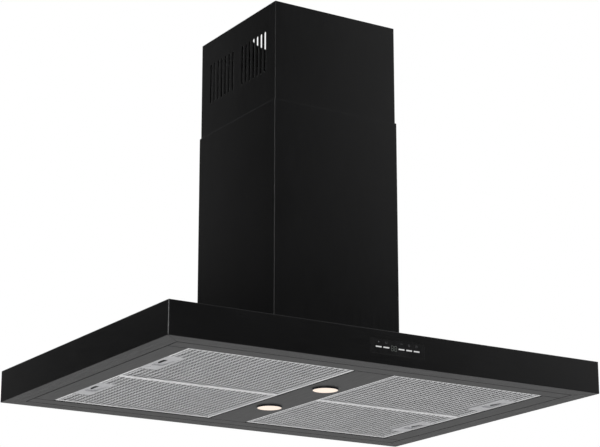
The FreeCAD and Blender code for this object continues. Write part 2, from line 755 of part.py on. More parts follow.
def latch_case(s, y):
    """A moulded plate with a sloping finger scoop, a slot for the grip and a pocket round the slider."""
    z0, z1 = tongue_levels()
    block = case_cutter(s, y, 0, Z_FACE, Z_FACE + CASE_T)
    block = block.makeFillet(3.0, upright_edges(block))
    block = block.makeFillet(0.6, level_edges(block, Z_FACE))
    pocket_x = (SLIDER_IN - 0.1, CASE_OUT - CASE_WALL)
    half = SLIDER_HALF + 0.2
    pocket = box(s * pocket_x[0], s * pocket_x[1], y - half, y + half, z0 - 0.1, z1 + 0.1)
    grip_x = (GRIP_X - 0.2, GRIP_X + GRIP_T + LATCH_TRAVEL + 0.2)
    y0, y1 = y + GRIP_START - 0.3, y + GRIP_END + 0.3
    grip_slot = box(s * grip_x[0], s * grip_x[1], y0, y1, Z_FACE - EPS, z1)
    core_hole = box(s * (GRIP_X + GRIP_T), s * grip_x[1], y0, y1, z1, Z_FACE + CASE_T + EPS)
    return cut(block, [scoop(s, y), pocket, grip_slot, core_hole, tongue_cutter(s, y)])


def scoop(s, y):
    """A wedge that deepens towards the rear, with a round-cornered plan."""
    side = [(SCOOP_START, 0), (SCOOP_END, SCOOP_DEPTH), (SCOOP_END, -EPS), (SCOOP_START, -EPS)]
    corners = [vec(s * SCOOP_IN, y + along, Z_FACE + up) for along, up in side]
    face = Part.Face(Part.makePolygon(corners + corners[:1]))
    wedge = face.extrude(vec(s * (SCOOP_OUT - SCOOP_IN), 0, 0))
    z0, z1 = Z_FACE - EPS, Z_FACE + SCOOP_DEPTH + EPS
    plan = box(s * SCOOP_IN, s * SCOOP_OUT, y + SCOOP_START, y + SCOOP_END, z0, z1)
    return wedge.common(plan.makeFillet(SCOOP_R, upright_edges(plan)))


def latch_slider(s, y):
    """A slider with a finger grip and the tongue that holds the filter, shown drawn back."""
    z0, z1 = tongue_levels()
    x1 = CASE_OUT - CASE_WALL - LATCH_TRAVEL - 0.1
    plate = box(s * SLIDER_IN, s * x1, y - SLIDER_HALF, y + SLIDER_HALF, z0, z1)
    tongue = box(s * (x1 - 1), s * (FILTER_IN + FILTER_L - 0.2), y - TONGUE_W / 2, y + TONGUE_W / 2, z0, z1)
    y0, y1 = y + GRIP_START, y + GRIP_END
    grip_far = GRIP_X + GRIP_T
    grip = box(s * GRIP_X, s * grip_far, y0, y1, Z_FACE + 0.8, z1)
    core_hole = box(s * grip_far, s * (grip_far + LATCH_TRAVEL), y0, y1, z0 - EPS, z1 + EPS)
    return cut(fuse([plate, tongue, grip]), [core_hole])


# ---- lamps ----
def lamp_bezels():
    solids = []
    low = Z_UNDER - LAMP_PROUD
    for s in (-1, 1):
        y = s * LAMP_Y
        rim = ring(0, y, low, Z_UNDER, LAMP_R, LAMP_HOLE_R + 0.2)
        web = ring(0, y, Z_UNDER - 0.8, Z_UNDER, LAMP_R - 0.5, LAMP_BORE_R)
        skirt = ring(0, y, Z_UNDER - 0.8, Z_UNDER + LAMP_SKIRT_H, LAMP_HOLE_R - 0.3, LAMP_BORE_R)
        solids.append(fuse([rim, web, skirt]))
    return Part.makeCompound(solids)


def lamp_lenses():
    low = Z_UNDER - LAMP_PROUD + 0.3
    return Part.makeCompound([disc(0, s * LAMP_Y, low, Z_UNDER - 0.85, LAMP_HOLE_R + 0.1) for s in (-1, 1)])


def lamp_bodies():
    """Finned heat sinks behind the lenses, with a spring clip on each side."""
    solids = []
    for s in (-1, 1):
        y = s * LAMP_Y
        base = Z_UNDER + LAMP_SKIRT_H + 1
        parts = [disc(0, y, Z_UNDER - 0.7, base, LAMP_BORE_R - 0.2)]
        parts += [disc(0, y, base + z, base + z + LAMP_FIN_T, LAMP_FIN_R) for z in LAMP_FIN_RISE]
        parts.append(disc(0, y, base, base + LAMP_FIN_RISE[-1] + LAMP_FIN_T, LAMP_CORE_R))
        for side in (-1, 1):
            half = CLIP_W / 2
            clip_x = (side * (LAMP_BORE_R - 2), side * CLIP_REACH)
            parts.append(box(clip_x[0], clip_x[1], y - half, y + half, base - CLIP_T, base))
            parts.append(box(side * (CLIP_REACH - 1), side * CLIP_REACH, y - half, y + half, Z_FACE, base))
        solids.append(fuse(parts))
    return Part.makeCompound(solids)


# ---- touch control and electronics ----
def key_x(k):
    return (k - (KEY_COUNT - 1) / 2) * KEY_PITCH


def dash_keys():
    return [k for k in range(KEY_COUNT) if k != DISPLAY_KEY]


def dash(k, slack, y0, y1):
    half, rise = DASH_L / 2 + slack, DASH_H / 2 + slack
    z = Z_UNDER + DASH_RISE
    return box(key_x(k) - half, key_x(k) + half, y0, y1, z - rise, z + rise)


def control_window():
    """A smoked acrylic window set flush in the front panel, with a flange behind the sheet."""
    z = Z_UNDER + WINDOW_RISE
    half, rise = WINDOW_W / 2, WINDOW_H / 2
    front, back = -HALF_D + WINDOW_SUNK, -HALF_D + WINDOW_T
    pane = box(-half, half, front, back, z - rise, z + rise)
    half, rise = half + WINDOW_FLANGE, rise + WINDOW_FLANGE
    flange = box(-half, half, -HALF_D + CANOPY_SHEET, back, z - rise, z + rise)
    return cut(fuse([pane, flange]), [dash(k, 0.05, -HALF_D - EPS, -HALF_D + 4) for k in dash_keys()])


def control_light_guides():
    return Part.makeCompound([dash(k, 0, -HALF_D + GUIDE_SUNK, BOARD_Y - 0.1) for k in dash_keys()])


def control_display():
    x, z = key_x(DISPLAY_KEY), Z_UNDER + DASH_RISE
    half, rise = DISPLAY_W / 2, DISPLAY_H / 2
    return box(x - half, x + half, -HALF_D + WINDOW_T + 0.05, BOARD_Y - 0.1, z - rise, z + rise)


def control_board():
    z = Z_UNDER + WINDOW_RISE
    back = BOARD_Y + BOARD_T
    board = box(-BOARD_W / 2, BOARD_W / 2, BOARD_Y, back, z - BOARD_H / 2, z + BOARD_H / 2)
    chips = [box(x, x + CHIP_W, back, back + CHIP_T, z - CHIP_H / 2, z + CHIP_H / 2) for x in CHIP_X]
    return fuse([board] + chips)


def control_box():
    """The cover behind the touch board, open towards the front panel."""
    z = Z_UNDER + WINDOW_RISE
    y_front, y_back = -HALF_D + CANOPY_SHEET + 0.05, -HALF_D + BOX_DEPTH
    half, rise = BOX_W / 2, BOX_H / 2
    shell = box(-half, half, y_front, y_back, z - rise, z + rise)
    half, rise = half - BOX_WALL, rise - BOX_WALL
    pocket = box(-half, half, y_front - EPS, y_back - BOX_WALL, z - rise, z + rise)
    lead_hole = disc_y(LEAD_HOLE_X, y_back - 3, y_back + EPS, z, LEAD_HOLE_R)
    return shell.cut([pocket, lead_hole])


def led_driver():
    """The lamp driver, screwed under the top panel near the rear wall."""
    z1 = Z_DECK - CANOPY_SHEET
    z0 = z1 - DRIVER_EAR_T
    y0, y1 = DRIVER_Y - DRIVER_D / 2, DRIVER_Y + DRIVER_D / 2
    body = box(-DRIVER_W / 2, DRIVER_W / 2, y0, y1, z0 - DRIVER_H, z0)
    body = body.makeFillet(2.0, upright_edges(body))
    y0, y1 = DRIVER_Y - DRIVER_EAR_D / 2, DRIVER_Y + DRIVER_EAR_D / 2
    ears = box(-DRIVER_EAR_W / 2, DRIVER_EAR_W / 2, y0, y1, z0, z1)
    return fuse([body, ears])


# ---- blower ----
def quadrant(cx, cz, r, sx, sz, half):
    """A quarter of a disc about the Y axis, in the quadrant given by the two signs."""
    whole = disc_y(cx, -half, half, cz, r)
    return whole.common(box(cx, cx + sx * (r + 5), -half - EPS, half + EPS, cz, cz + sz * (r + 5)))


def scroll_solid(grow, z_top):
    """The scroll's outline as a solid, grown outwards by a wall: three arcs of rising radius and a neck."""
    half = SCROLL_HALF + grow
    x1, z1 = SCROLL_X, SCROLL_Z
    x2, z3 = x1 + SCROLL_STEP, z1 + SCROLL_STEP
    first = quadrant(x1, z1, SCROLL_R + grow, -1, 1, half)
    second = quadrant(x2, z1, SCROLL_R + SCROLL_STEP + grow, -1, -1, half)
    third = quadrant(x2, z3, SCROLL_R + 2 * SCROLL_STEP + grow, 1, -1, half)
    core = box(x1, x2, -half, half, z1, z1 + SCROLL_R + grow)
    heart = box(x1, x2 + 20, -half, half, z1 - 5, z3)
    low = box(x2 - EPS, x2 + EPS, -half, half, z1 - SCROLL_R - SCROLL_STEP - grow, z3)
    neck = box(x2, NECK_OUT + grow, -half, half, z3, z_top)
    tongue = box(x2 - EPS, NECK_IN - grow, -half - EPS, half + EPS, z1 + SCROLL_R + grow, z_top + EPS)
    return cut(fuse([first, second, third, core, heart, low, neck]), [tongue])


def scroll_shell():
    outer = scroll_solid(WALL, PLENUM_FLOOR)
    inner = scroll_solid(0, PLENUM_FLOOR + EPS)
    inlets = disc_y(WHEEL_X, -SCROLL_HALF - 5, SCROLL_HALF + 5, WHEEL_Z, INLET_R)
    feet = []
    for s in (-1, 1):
        y0, y1 = s * (SCROLL_HALF - 10), s * (SCROLL_HALF + WALL)
        z1 = Z_DECK + SCROLL_RISE
        feet.append(box(-CRADLE_HALF, CRADLE_HALF, y0, y1, Z_DECK, z1))
        feet.append(box(-BLOWER_FOOT_HALF, BLOWER_FOOT_HALF, y0, y1, Z_DECK, z1 - BLOWER_FOOT_STEP))
    body = fuse([outer] + feet)
    z0, z1 = Z_DECK - EPS, Z_DECK + SCROLL_RISE + EPS
    holes = [disc(x, y, z0, z1, M5_HOLE_R) for x, y in blower_screw_places()]
    holes += [disc_y(x, SCROLL_HALF - 3, SCROLL_HALF + 5, z, SMALL_HOLE_R) for x, z in bracket_places()]
    return body.cut([inner, inlets] + holes)


def scroll_half(s):
    reach = 200.0
    return scroll_shell().common(box(-reach, reach, 0, s * reach, Z_DECK - 5, PLENUM_FLOOR + 5))


def bracket_places():
    """Where the motor bracket's three arms are screwed to the scroll's rear wall, as (x, z)."""
    turns = [math.radians(a) for a in (90, 210, 330)]
    r = BRACKET_SCREW_R
    return [(WHEEL_X + r * math.cos(t), WHEEL_Z + r * math.sin(t)) for t in turns]


def motor():
    """The motor can, which reaches into the impeller from the rear inlet."""
    can = disc_y(WHEEL_X, MOTOR_START, MOTOR_END, WHEEL_Z, MOTOR_R)
    can = can.makeFillet(MOTOR_EDGE_R, [e for e in can.Edges if len(e.Vertexes) == 1])
    nose = disc_y(WHEEL_X, NOSE_START, MOTOR_START + 2, WHEEL_Z, NOSE_R)
    bearing = disc_y(WHEEL_X, NOSE_START - 4, SHAFT_END + 4, WHEEL_Z, SHAFT_R + 0.05)
    return cut(fuse([can, nose]), [bearing])


def motor_bracket():
    """A clamp ring round the motor with three arms over the rear inlet."""
    y0 = SCROLL_HALF + WALL
    hoop = disc_y(WHEEL_X, y0, y0 + CLAMP_W, WHEEL_Z, MOTOR_R + CLAMP_T)
    parts = [hoop]
    for x, z in bracket_places():
        turn = math.degrees(math.atan2(z - WHEEL_Z, x - WHEEL_X))
        half = BRACKET_ARM_W / 2
        arm = box(MOTOR_R, BRACKET_SCREW_R + 6, y0, y0 + BRACKET_T, -half, half)
        arm.rotate(vec(0, 0, 0), vec(0, 1, 0), -turn)
        arm.translate(vec(WHEEL_X, 0, WHEEL_Z))
        parts.append(arm)
    holes = [disc_y(WHEEL_X, y0 - EPS, y0 + CLAMP_W + EPS, WHEEL_Z, MOTOR_R + 0.02)]
    holes += [disc_y(x, y0 - EPS, y0 + 5, z, SMALL_HOLE_R) for x, z in bracket_places()]
    return cut(fuse(parts), holes)


def impeller():
    """A double-inlet wheel: a centre disc on a hub, forward blades and two end rings."""
    parts = [disc_y(WHEEL_X, -WHEEL_DISC_T / 2, WHEEL_DISC_T / 2, WHEEL_Z, WHEEL_R)]
    parts.append(disc_y(WHEEL_X, HUB_START, HUB_END, WHEEL_Z, HUB_R))
    for s in (-1, 1):
        rim = disc_y(WHEEL_X, s * (WHEEL_HALF - WHEEL_RING_W), s * WHEEL_HALF, WHEEL_Z, WHEEL_R)
        parts.append(rim.cut(disc_y(WHEEL_X, -WHEEL_HALF - EPS, WHEEL_HALF + EPS, WHEEL_Z, WHEEL_IN_R)))
    for k in range(WHEEL_BLADES):
        half = BLADE_T / 2
        blade = box(WHEEL_IN_R + 0.6, WHEEL_R - 0.6, -WHEEL_HALF + 1, WHEEL_HALF - 1, -half, half)
        blade.rotate(vec(WHEEL_R - 5, 0, 0), vec(0, 1, 0), BLADE_TILT)
        blade.rotate(vec(0, 0, 0), vec(0, 1, 0), 360.0 * k / WHEEL_BLADES)
        blade.translate(vec(WHEEL_X, 0, WHEEL_Z))
        parts.append(blade)
    bore = disc_y(WHEEL_X, -20, 20, WHEEL_Z, SHAFT_R)
    return cut(fuse(parts), [bore])


def motor_shaft():
    return disc_y(WHEEL_X, SHAFT_START, SHAFT_END, WHEEL_Z, SHAFT_R)


def outlet_collar():
    """A plenum box on the scroll's neck with the round spigot for the duct and the flaps' stop ring."""
    x0, x1 = -COLLAR_R - PLENUM_MARGIN, NECK_OUT + 2 * WALL
    half_y = COLLAR_R + PLENUM_MARGIN
    shell = box(x0, x1, -half_y, half_y, PLENUM_FLOOR, PLENUM_TOP)
    room = box(x0 + WALL, x1 - WALL, -half_y + WALL, half_y - WALL, PLENUM_FLOOR + WALL, PLENUM_TOP - WALL)
    mouth = box(NECK_IN, NECK_OUT, -SCROLL_HALF, SCROLL_HALF, PLENUM_FLOOR - EPS, PLENUM_FLOOR + 3)
    bore_r = COLLAR_R - COLLAR_T
    spigot = ring(0, 0, PLENUM_TOP - WALL, COLLAR_TOP, COLLAR_R, bore_r)
    stop_top = FLAP_Z - FLAP_T
    stop = ring(0, 0, stop_top - STOP_T, stop_top, COLLAR_R - 0.5, FLAP_R - 3)
    stop = stop.cut(box(-5, 5, -COLLAR_R, COLLAR_R, FLAP_Z - 6, FLAP_Z + 2))
    hole = disc(0, 0, PLENUM_TOP - 3, PLENUM_TOP + EPS, bore_r)
    rod_hole = disc_y(0, -COLLAR_R - EPS, COLLAR_R + EPS, FLAP_Z, ROD_R + 0.02)
    body = fuse([shell.cut([room, mouth, hole]), spigot, stop])
    return cut(body, [rod_hole])


def flap_rod():
    return disc_y(0, -COLLAR_R + 0.2, COLLAR_R - 0.2, FLAP_Z, ROD_R)


def flap(s, knuckles):
    """A half-moon backdraught flap, s -1 or 1, with two knuckles on the rod."""
    half_disc = disc(0, 0, FLAP_Z - FLAP_T / 2, FLAP_Z + FLAP_T / 2, FLAP_R)
    kept = box(s * FLAP_CUT_BACK, s * COLLAR_R, -COLLAR_R, COLLAR_R, FLAP_Z - 2, FLAP_Z + 2)
    half_disc = half_disc.common(kept)
    parts = [half_disc]
    bores = []
    for y0, y1 in knuckles:
        parts.append(disc_y(0, y0, y1, FLAP_Z, KNUCKLE_R))
        parts.append(box(s * 2.5, s * 6, y0, y1, FLAP_Z - FLAP_T / 2, FLAP_Z + FLAP_T / 2))
        bores.append(disc_y(0, y0 - EPS, y1 + EPS, FLAP_Z, ROD_R + 0.08))
    return cut(fuse(parts), bores)


def capacitor():
    x = -COLLAR_R - PLENUM_MARGIN - CAPACITOR_R
    z = PLENUM_FLOOR + PLENUM_H / 2
    can = disc_y(x, CAPACITOR_START, CAPACITOR_END, z, CAPACITOR_R)
    cap = disc_y(x, CAPACITOR_END, CAPACITOR_END + CAPACITOR_CAP_L, z, CAPACITOR_CAP_R)
    return fuse([can, cap])


def terminal_box():
    """The mains terminal box on the plenum's right side, with a threaded hole for the gland."""
    x0 = NECK_OUT + 2 * WALL
    wall, half = TERMINAL_WALL, TERMINAL_HALF
    z0, z1 = PLENUM_FLOOR, PLENUM_FLOOR + TERMINAL_H
    shell = box(x0, x0 + TERMINAL_L, -half, half, z0, z1)
    room = box(x0 + wall, x0 + TERMINAL_L - wall, -half + wall, half - wall, z0 + wall, z1 - wall)
    return shell.cut([room, disc(GLAND_X, 0, z1 - 4, z1 + EPS, GLAND_THREAD_R + 0.1)])


def cable_gland():
    x = GLAND_X
    z = PLENUM_FLOOR + TERMINAL_H
    top = z + GLAND_COLLAR_H
    collar = disc(x, 0, z, top, GLAND_R)
    dome = Part.makeCone(GLAND_R - 1.5, GLAND_R - 5, GLAND_DOME_H, vec(x, 0, top))
    thread = disc(x, 0, z - GLAND_THREAD_L, z, GLAND_THREAD_R)
    bore = disc(x, 0, z - GLAND_THREAD_L - EPS, top + GLAND_DOME_H + EPS, GLAND_BORE_R)
    return cut(fuse([collar, dome, thread]), [bore])


# ---- everything, one STEP file per node ----
def main():
    os.makedirs("parts", exist_ok=True)
    save("ceiling_plate", ceiling_plate())
    save("upper_uprights", upper_uprights())
    save("upper_braces", upper_braces())
    save("ceiling_screws", ceiling_screws())
    save("upper_chimney", upper_chimney())
    save("chimney_screws", chimney_screws())
    save("lower_chimney", lower_chimney())
    save("lower_uprights", lower_uprights())
    save("lower_braces", lower_braces())
    save("frame_bolts", frame_bolts())
    save("frame_nuts", frame_nuts())
    panels = canopy_panels()
    panels["front"] = panels["front"].cut(window_cutter())
    for side, panel in panels.items():
        save("canopy_" + side, panel)
    save("canopy_top", canopy_top())
    save("front_rail", end_rail(-1))
    save("rear_rail", end_rail(1))
    save("left_rail", side_rail(-1))
    save("right_rail", side_rail(1))
    save("lamp_bridge", lamp_bridge())
    save("hood_screws", hood_screws())
    for y_name, y in zip(("front", "rear"), filter_centres()):
        for x_name, s in (("left", -1), ("right", 1)):
            name = "filter_" + y_name + "_" + x_name
            save(name + "_frame", filter_frame(s, y))
            save(name + "_mesh", filter_mesh(s, y))
            save(name + "_latch_case", latch_case(s, y))
            save(name + "_latch_slider", latch_slider(s, y))
    save("lamp_bezels", lamp_bezels())
    save("lamp_lenses", lamp_lenses())
    save("lamp_bodies", lamp_bodies())
    save("control_window", control_window())
    save("control_light_guides", control_light_guides())
    save("control_display", control_display())
    save("control_board", control_board())
    save("control_box", control_box())
    save("led_driver", led_driver())
    save("scroll_front", scroll_half(-1))
    save("scroll_rear", scroll_half(1))
    save("motor", motor())
    save("motor_bracket", motor_bracket())
    save("motor_shaft", motor_shaft())
    save("impeller", impeller())
    save("outlet_collar", outlet_collar())
    save("flap_rod", flap_rod())
    save("flap_left", flap(-1, LEFT_KNUCKLES))
    save("flap_right", flap(1, RIGHT_KNUCKLES))
    save("capacitor", capacitor())
    save("terminal_box", terminal_box())
    save("cable_gland", cable_gland())


main()
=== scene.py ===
import json
import math

import bmesh
import bpy
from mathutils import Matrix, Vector


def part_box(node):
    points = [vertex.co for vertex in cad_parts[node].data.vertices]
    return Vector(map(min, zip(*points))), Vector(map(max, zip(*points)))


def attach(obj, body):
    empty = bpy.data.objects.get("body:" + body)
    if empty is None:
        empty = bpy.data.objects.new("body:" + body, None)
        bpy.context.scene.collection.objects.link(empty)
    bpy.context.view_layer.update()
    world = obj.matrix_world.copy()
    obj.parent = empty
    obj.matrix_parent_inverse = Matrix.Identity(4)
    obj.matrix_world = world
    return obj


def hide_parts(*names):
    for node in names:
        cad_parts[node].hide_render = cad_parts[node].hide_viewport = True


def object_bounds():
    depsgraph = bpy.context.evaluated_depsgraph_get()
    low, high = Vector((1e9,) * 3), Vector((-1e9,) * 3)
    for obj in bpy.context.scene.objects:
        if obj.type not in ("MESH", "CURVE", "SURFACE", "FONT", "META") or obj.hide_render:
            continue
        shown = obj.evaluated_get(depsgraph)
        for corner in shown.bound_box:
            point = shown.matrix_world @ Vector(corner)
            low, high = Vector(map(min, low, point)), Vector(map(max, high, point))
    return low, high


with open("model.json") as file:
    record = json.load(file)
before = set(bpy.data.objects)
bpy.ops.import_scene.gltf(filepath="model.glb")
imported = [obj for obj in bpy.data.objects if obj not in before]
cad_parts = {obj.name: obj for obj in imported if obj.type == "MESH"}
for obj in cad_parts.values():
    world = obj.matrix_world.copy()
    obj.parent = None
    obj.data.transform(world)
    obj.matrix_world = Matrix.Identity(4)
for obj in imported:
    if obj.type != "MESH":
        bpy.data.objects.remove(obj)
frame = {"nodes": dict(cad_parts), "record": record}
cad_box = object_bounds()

# Looks of the island range hood. Lengths are metres, in the CAD's frame:
# +X along the long side, -Y the side with the touch control, +Z up, the origin on the ceiling plate.
MM = 0.001
UP = Vector((0, 0, 1))

# ---- camera: degrees, and millimetres of lens ----
CAMERA_AT = (-1.9529, -3.1341, -1.4573)
CAMERA_YAW = 32.02
CAMERA_PITCH = 16.29
CAMERA_LENS = 121.31
SENSOR_W = 36.0

# ---- studio: light powers in watts ----
FLOOR_DROP = 6.3
FLOOR_HALF = 60.0
POOL_POWER = 2050
SOFTBOX_POWER = 5
SIDE_FILL_POWER = 45
LOW_FILL_POWER = 12
WORLD_BASE = 0.03
WALL_FROM = -149.5

# ---- enamel ----
EDGE_R = 1.3 * MM
# the paler upright corners are a painted highlight: its tone on the canopy and the chimney, and how near a
# corner it begins and is full
CANOPY_EDGE_HIGHLIGHT = 0.45
CHIMNEY_EDGE_HIGHLIGHT = 0.3
HIGHLIGHT_FROM = 12.0 * MM
HIGHLIGHT_FULL = 10.0 * MM
UNDERSIDE_ROUGHER = 1.8

# ---- filter mesh: expanded sheet pressed into waves that run along Y ----
WAVE_PITCH = 11.4 * MM
WAVE_HEIGHT = 1.4 * MM
HOLE_X = WAVE_PITCH
HOLE_Y = 11.25 * MM
STRAND_W = 1.7 * MM
RIDGE_W = 4.4 * MM
INNER_HOLE = 5.6 * MM
INNER_STRAND_W = 1.3 * MM
STRAND_T = 0.5 * MM
SHEET_T = 1.0 * MM
EDGE_FLAT = 4.0 * MM
EDGE_TAPER = 8.0 * MM
INNER_RISE = 0.66

# ---- touch control ----
KEY_COUNT = 6
DISPLAY_KEY = 2
DASH_L = 12.0 * MM
PRINT_PROUD = 0.05 * MM
SEGMENT_HALF_L = 2.0 * MM
SEGMENT_HALF_T = 0.35 * MM
DIGIT_HALF_W = 2.2 * MM
DIGIT_OFF = 3.4 * MM
ICON_RISE = 8.6 * MM
DOT_R = 1.3 * MM
DOT_POINTS = 24
ARC_R = 1.9 * MM
RING_R = 2.0 * MM
RING_W = 0.5 * MM
RING_PIECES = 20


# ---- node helpers ----
def set_range(node, start, end, low, high):
    for socket, value in zip(("From Min", "From Max", "To Min", "To Max"), (start, end, low, high)):
        node.inputs[socket].default_value = value


class Shade:
    """A material: a Principled shader, and nodes over the piece's own coordinates in metres."""

    def __init__(self, name, colour, roughness, metallic=0.0):
        self.material = bpy.data.materials.new(name)
        self.material.use_nodes = True
        self.tree = self.material.node_tree
        self.tree.nodes.clear()
        self.shader = self.add("ShaderNodeBsdfPrincipled")
        out = self.add("ShaderNodeOutputMaterial")
        self.link(self.shader.outputs["BSDF"], out.inputs["Surface"])
        self.place = self.add("ShaderNodeTexCoord").outputs["Object"]
        self.colour = colour
        self.set("Base Color", (*colour, 1.0))
        self.set("Roughness", roughness)
        self.set("Metallic", metallic)

    def add(self, kind):
        return self.tree.nodes.new(kind)

    def link(self, a, b):
        self.tree.links.new(a, b)

    def drive(self, socket, source):
        self.link(source, self.shader.inputs[socket])

    def set(self, socket, value):
        self.shader.inputs[socket].default_value = value

    def stretched(self, stretch):
        mapping = self.add("ShaderNodeMapping")
        mapping.inputs["Scale"].default_value = stretch
        self.link(self.place, mapping.inputs["Vector"])
        return mapping.outputs["Vector"]

    def noise(self, scale, detail=3.0, stretch=None):
        """Noise from 0 to 1; scale is in features a metre, and stretch scales each axis further."""
        node = self.add("ShaderNodeTexNoise")
        node.inputs["Scale"].default_value = scale
        node.inputs["Detail"].default_value = detail
        self.link(self.stretched(stretch) if stretch else self.place, node.inputs["Vector"])
        return node.outputs["Fac"]

    def cells(self, scale):
        """A random grey for each cell of a crystal-like pattern."""
        node = self.add("ShaderNodeTexVoronoi")
        node.inputs["Scale"].default_value = scale
        self.link(self.place, node.inputs["Vector"])
        grey = self.add("ShaderNodeRGBToBW")
        self.link(node.outputs["Color"], grey.inputs["Color"])
        return grey.outputs["Val"]

    def ranged(self, fac, low, high, start=0.3, end=0.7):
        """A number that goes from low to high as fac goes from start to end."""
        node = self.add("ShaderNodeMapRange")
        set_range(node, start, end, low, high)
        self.link(fac, node.inputs["Value"])
        return node.outputs["Result"]

    def product(self, a, b):
        node = self.add("ShaderNodeMath")
        node.operation = "MULTIPLY"
        self.link(a, node.inputs[0])
        self.link(b, node.inputs[1])
        return node.outputs["Value"]

    def height_part(self, normal):
        """The upward part of a normal, from -1 to 1."""
        node = self.add("ShaderNodeSeparateXYZ")
        self.link(normal, node.inputs["Vector"])
        return node.outputs["Z"]

    def eased_normal(self):
        """The surface's normal with its edges eased to the radius EDGE_R."""
        node = self.add("ShaderNodeBevel")
        node.inputs["Radius"].default_value = EDGE_R
        return node.outputs["Normal"]

    def out_from_axis(self):
        """|x| + |y| of the point, largest at the upright corners."""
        size = self.add("ShaderNodeVectorMath")
        size.operation = "ABSOLUTE"
        self.link(self.place, size.inputs[0])
        across = self.add("ShaderNodeVectorMath")
        across.operation = "DOT_PRODUCT"
        across.inputs[1].default_value = (1.0, 1.0, 0.0)
        self.link(size.outputs["Vector"], across.inputs[0])
        return across.outputs["Value"]

    def toned(self, fac, darkest, lightest, start=0.3, end=0.7):
        """The base colour, from darkest to lightest times itself as fac goes from start to end."""
        node = self.add("ShaderNodeVectorMath")
        node.operation = "SCALE"
        node.inputs[0].default_value = self.colour
        self.link(self.ranged(fac, darkest, lightest, start, end), node.inputs["Scale"])
        return node.outputs["Vector"]

    def shade_colour(self, fac, darkest, lightest, start=0.3, end=0.7):
        self.drive("Base Color", self.toned(fac, darkest, lightest, start, end))

    def shade_roughness(self, fac, low, high, start=0.3, end=0.7):
        self.drive("Roughness", self.ranged(fac, low, high, start, end))

    def bump(self, height, depth, strength, over=None):
        """A relief of that depth in metres, over the normal given or the surface's own."""
        node = self.add("ShaderNodeBump")
        if over is not None:
            self.link(over, node.inputs["Normal"])
        node.inputs["Strength"].default_value = strength
        node.inputs["Distance"].default_value = depth
        self.link(height, node.inputs["Height"])
        self.drive("Normal", node.outputs["Normal"])

    def glow(self, colour, strength):
        self.set("Emission Color", (*colour, 1.0))
        self.set("Emission Strength", strength)


# ---- materials ----
ALONG_X = (0.02, 1.0, 1.0)
ALONG_Y = (1.0, 0.02, 1.0)
ALONG_Z = (1.0, 1.0, 0.02)


def enamel(name, grain, highlight_tone, corner_of):
    """Black enamel over brushed sheet: satin gloss, a little orange peel, and a painted highlight on upright
    corners.

    The painted highlight shows where a corner of the node corner_of is near, seen from above.
    """
    s = Shade(name, (0.0044, 0.0044, 0.0046), 0.16)
    s.set("Specular IOR Level", 0.17)
    s.bump(s.noise(420, 2.0), 0.003 * MM, 0.5, s.eased_normal())
    flat = s.add("ShaderNodeNewGeometry").outputs["Normal"]
    eased = s.eased_normal()

    # rougher where it faces down
    rougher = s.ranged(s.height_part(flat), UNDERSIDE_ROUGHER, 1.0, -0.9, -0.5)
    s.drive("Roughness", s.product(s.ranged(s.noise(900, 2.0, grain), 0.13, 0.2), rougher))

    # painted highlight: paler where the eased normal turns away from the flat one, on upright edges near the
    # node's corners
    turn = s.add("ShaderNodeVectorMath")
    turn.operation = "DOT_PRODUCT"
    s.link(eased, turn.inputs[0])
    s.link(flat, turn.inputs[1])
    slope = s.add("ShaderNodeMath")
    slope.operation = "ABSOLUTE"
    s.link(s.height_part(eased), slope.inputs[0])
    upright = s.ranged(slope.outputs["Value"], 1.0, 0.0, 0.05, 0.15)
    edge = s.product(s.ranged(turn.outputs["Value"], 1.0, 0.0, 0.88, 0.99), upright)
    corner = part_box(corner_of)[1]
    reach = corner[0] + corner[1]
    near = s.ranged(s.out_from_axis(), 0.0, 1.0, reach - HIGHLIGHT_FROM, reach - HIGHLIGHT_FULL)

    # mix in the painted highlight's pale colour at the upright corners
    mix = s.add("ShaderNodeMix")
    mix.data_type = "RGBA"
    s.link(s.product(edge, near), mix.inputs["Factor"])
    s.link(s.toned(s.noise(7, 3.0), 0.85, 1.2), mix.inputs["A"])
    mix.inputs["B"].default_value = (highlight_tone, highlight_tone, highlight_tone, 1.0)
    s.drive("Base Color", mix.outputs["Result"])
    return s.material


def underside_paint(name, grain):
    """Dark grey satin paint over a brushed grain."""
    s = Shade(name, (0.011, 0.011, 0.0112), 0.4)
    s.set("Specular IOR Level", 0.25)
    s.shade_colour(s.noise(9, 3.0), 0.85, 1.2)
    streaks = s.noise(1200, 3.0, grain)
    s.shade_roughness(streaks, 0.3, 0.4)
    s.bump(streaks, 0.004 * MM, 0.6)
    return s.material


def powder_coat(name, colour):
    """Matt powder coat with a fine pebbled surface."""
    s = Shade(name, colour, 0.55)
    s.shade_colour(s.noise(30, 4.0), 0.8, 1.25)
    s.shade_roughness(s.noise(60, 2.0), 0.48, 0.62)
    s.bump(s.noise(1500, 2.0), 0.03 * MM, 0.6)
    return s.material


def galvanised():
    """Zinc spangle: angular crystals a few millimetres across."""
    s = Shade("zinc_steel", (0.56, 0.57, 0.58), 0.4, 1.0)
    spangle = s.cells(160)
    s.shade_colour(spangle, 0.72, 1.08, 0.1, 0.9)
    s.shade_roughness(spangle, 0.5, 0.3, 0.1, 0.9)
    s.bump(s.noise(700, 2.0), 0.01 * MM, 0.4)
    return s.material


def plated(name, colour, roughness):
    """Plated or polished metal with fine scratches."""
    s = Shade(name, colour, roughness, 1.0)
    s.shade_colour(s.noise(120, 3.0), 0.88, 1.08)
    s.shade_roughness(s.noise(2500, 2.0, (1.0, 1.0, 0.1)), roughness * 0.8, roughness * 1.25)
    s.bump(s.noise(1800, 2.0), 0.004 * MM, 0.4)
    return s.material


def aluminium(name, colour, low, high, grain=(1.0, 1.0, 1.0), metallic=1.0):
    """Rolled aluminium; low and high are the limits of its roughness, and grain stretches its streaks."""
    s = Shade(name, colour, low, metallic)
    streaks = s.noise(1400, 3.0, grain)
    s.shade_colour(s.noise(40, 3.0), 0.92, 1.06)
    s.shade_roughness(streaks, low, high)
    s.bump(streaks, 0.006 * MM, 0.5)
    return s.material


